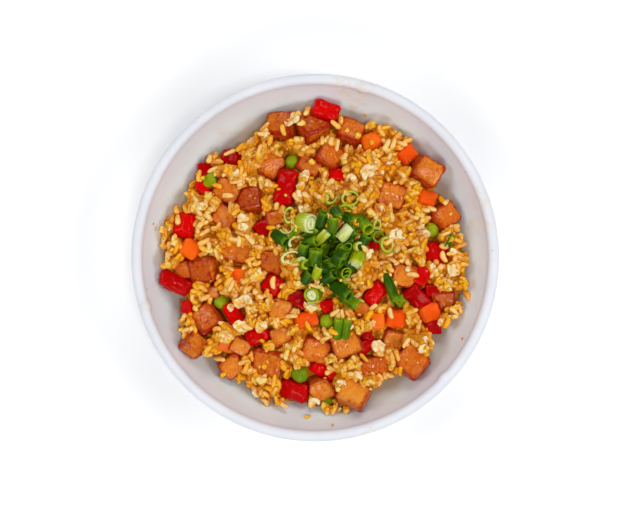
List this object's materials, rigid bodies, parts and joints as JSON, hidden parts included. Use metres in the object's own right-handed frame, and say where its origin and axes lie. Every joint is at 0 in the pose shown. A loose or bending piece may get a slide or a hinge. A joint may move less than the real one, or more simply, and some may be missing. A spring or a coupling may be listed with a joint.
{
  "type": "bowl of fried rice",
  "caption": "Round white fibre bowl heaped with fried rice, diced luncheon meat, red pepper, carrot and peas, with chopped spring onion on top.",
  "frame": {"origin": "middle of the bowl's underside, on the surface that it stands on", "axes": "+Z up through the bowl's middle; in the picture, looked at from straight above, +X is right and +Y is up"},
  "size_m": [0.216, 0.216, 0.0588],
  "materials": {
    "moulded_fibre": "white pressed plant fibre, faintly satin",
    "fried_rice": "oily cooked rice and egg, cream to golden",
    "luncheon_meat": "fried, browned and glazed",
    "red_pepper": "wet, glossy red skin",
    "carrot": "cooked, satin orange",
    "pea": "cooked, satin green",
    "spring_onion": "fresh, dark green to white"
  },
  "bodies": {
    "root": {"bowl": "moulded_fibre", "carrot_1": "carrot", "carrot_2": "carrot", "carrot_3": "carrot", "carrot_4": "carrot", "carrot_5": "carrot", "carrot_6": "carrot", "carrot_7": "carrot", "meat_1": "luncheon_meat", "meat_10": "luncheon_meat", "meat_11": "luncheon_meat", "meat_12": "luncheon_meat", "meat_13": "luncheon_meat", "meat_14": "luncheon_meat", "meat_15": "luncheon_meat", "meat_16": "luncheon_meat", "meat_17": "luncheon_meat", "meat_18": "luncheon_meat", "meat_19": "luncheon_meat", "meat_2": "luncheon_meat", "meat_20": "luncheon_meat", "meat_21": "luncheon_meat", "meat_22": "luncheon_meat", "meat_23": "luncheon_meat", "meat_24": "luncheon_meat", "meat_25": "luncheon_meat", "meat_26": "luncheon_meat", "meat_27": "luncheon_meat", "meat_28": "luncheon_meat", "meat_29": "luncheon_meat", "meat_3": "luncheon_meat", "meat_30": "luncheon_meat", "meat_31": "luncheon_meat", "meat_4": "luncheon_meat", "meat_5": "luncheon_meat", "meat_6": "luncheon_meat", "meat_7": "luncheon_meat", "meat_8": "luncheon_meat", "meat_9": "luncheon_meat", "pea_1": "pea", "pea_2": "pea", "pea_3": "pea", "pea_4": "pea", "pea_5": "pea", "pepper_1": "red_pepper", "pepper_10": "red_pepper", "pepper_11": "red_pepper", "pepper_12": "red_pepper", "pepper_13": "red_pepper", "pepper_2": "red_pepper", "pepper_3": "red_pepper", "pepper_4": "red_pepper", "pepper_5": "red_pepper", "pepper_6": "red_pepper", "pepper_7": "red_pepper", "pepper_8": "red_pepper", "pepper_9": "red_pepper", "rice_heap": "fried_rice", "spring_onion_heap": "spring_onion", "spring_onion_stray": "spring_onion"}
  },
  "joints": []
}
